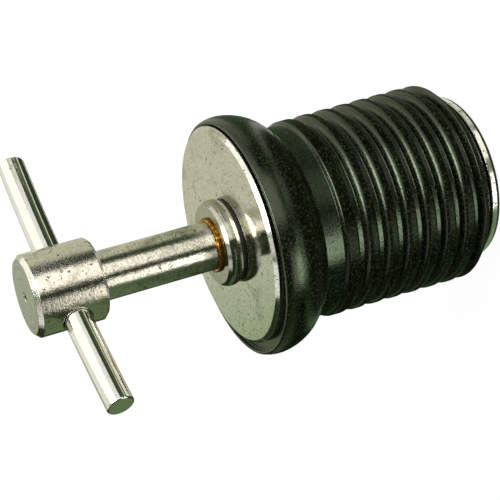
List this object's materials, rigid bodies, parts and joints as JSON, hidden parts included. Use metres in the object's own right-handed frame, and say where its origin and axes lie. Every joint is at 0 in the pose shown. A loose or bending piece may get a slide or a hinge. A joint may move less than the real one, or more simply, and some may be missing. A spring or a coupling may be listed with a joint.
{
  "type": "t-handle drain plug",
  "caption": "Expanding rubber drain plug with a T-handle: turning the handle clamps two plates and swells the ribbed rubber in its tube.",
  "frame": {"origin": "centre of the rear plate's rear face, on which the plug stands", "axes": "+Z along the plug's axis from the rear plate to the handle; +X along the longer arm of the cross bar"},
  "size_m": [0.0366, 0.0296, 0.0579],
  "materials": {
    "handle_steel": "turned and polished",
    "bar_steel": "polished rod",
    "brass": "dull, tarnished",
    "collar_steel": "turned",
    "seal_rubber": "matt",
    "disc_steel": "mirror polished",
    "plug_rubber": "moulded, half gloss",
    "plate_steel": "polished",
    "nut_steel": "plain"
  },
  "bodies": {
    "base": {"rear_plate": "plate_steel", "barrel_nut": "nut_steel", "rubber_plug": "plug_rubber"},
    "clamp": {"front_disc": "disc_steel", "seal_washer": "seal_rubber", "thrust_collar": "collar_steel", "brass_ring": "brass"},
    "handle": {"handle": "handle_steel", "cross_bar": "bar_steel"}
  },
  "joints": [
    {"name": "clamp_slide", "type": "slide", "parent": "base", "child": "clamp", "axis": [0, 0, -1], "range_m": [0, 0.003], "deforming": ["rubber_plug"]},
    {"name": "handle_turn", "type": "hinge", "parent": "clamp", "child": "handle", "pos_m": [0, 0, 0.0348], "axis": [0, 0, -1], "range_deg": [0, 1350]}
  ],
  "couplings": [
    {"joint": "handle_turn", "follows": "clamp_slide", "rad_per_m": 7854}
  ]
}
